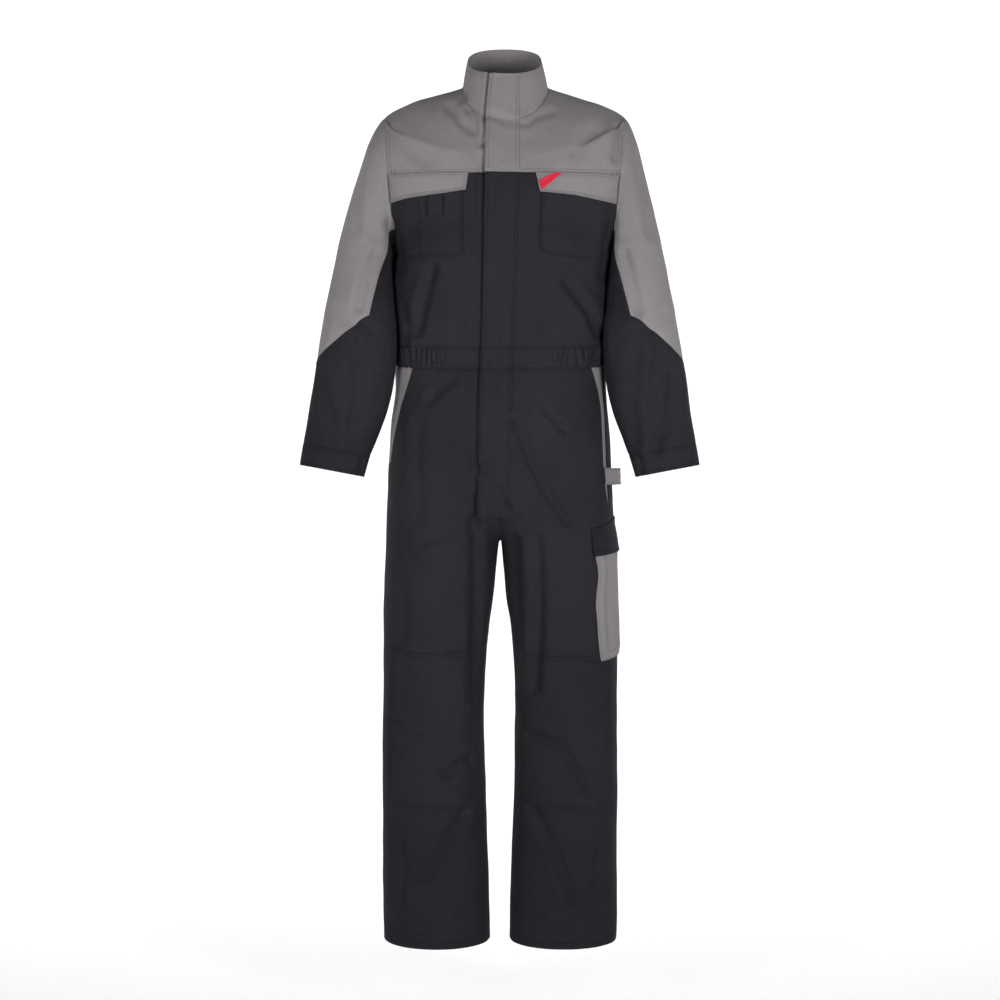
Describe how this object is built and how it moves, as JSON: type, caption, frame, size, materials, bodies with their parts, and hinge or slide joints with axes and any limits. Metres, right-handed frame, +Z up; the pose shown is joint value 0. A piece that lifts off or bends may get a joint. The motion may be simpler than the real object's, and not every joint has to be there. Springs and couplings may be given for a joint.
{
  "type": "boiler suit",
  "caption": "Two-tone work coverall in its worn, hollow form: stand collar, yoke, covered front zip, chest flap pockets, waistband, slanted hip pockets, thigh pocket and knee patches.",
  "frame": {"origin": "base of the neck, midway between the shoulders, where the wearer's shoulders hold the suit", "axes": "+Z up, the front faces -Y, the wearer's left is +X"},
  "size_m": [0.754, 0.2813, 1.7116],
  "materials": {
    "grey_cloth": "matt twill, mid grey",
    "dark_cloth": "matt twill, dark blue-black",
    "zip_tape": "woven zip tape, black",
    "red_tape": "smooth woven tape, red",
    "pale_patch": "smooth printed patch, off-white"
  },
  "bodies": {
    "root": {"yoke_front_left": "grey_cloth", "yoke_front_right": "grey_cloth", "yoke_back": "grey_cloth", "body_front_left": "dark_cloth", "body_front_right": "dark_cloth", "body_back": "dark_cloth", "waistband_front_left": "dark_cloth", "waistband_front_right": "dark_cloth", "waistband_back": "dark_cloth", "leg_front_left": "dark_cloth", "leg_front_right": "dark_cloth", "leg_back_left": "dark_cloth", "leg_back_right": "dark_cloth", "hip_facing_left": "grey_cloth", "hip_facing_right": "grey_cloth", "sleeve_upper_left": "grey_cloth", "sleeve_upper_right": "grey_cloth", "sleeve_lower_left": "dark_cloth", "sleeve_lower_right": "dark_cloth", "cuff_left": "dark_cloth", "cuff_right": "dark_cloth", "collar": "grey_cloth", "fly_cover_upper": "grey_cloth", "fly_cover_lower": "dark_cloth", "zip_tape": "zip_tape", "chest_pocket_left": "dark_cloth", "chest_pocket_right": "dark_cloth", "chest_flap_left": "grey_cloth", "chest_flap_right": "grey_cloth", "pocket_strap": "dark_cloth", "chest_tape": "red_tape", "sleeve_patch": "pale_patch", "cargo_pocket": "grey_cloth", "cargo_flap": "dark_cloth", "hammer_loop": "grey_cloth", "knee_patch_left": "dark_cloth", "knee_patch_right": "dark_cloth"}
  },
  "joints": []
}
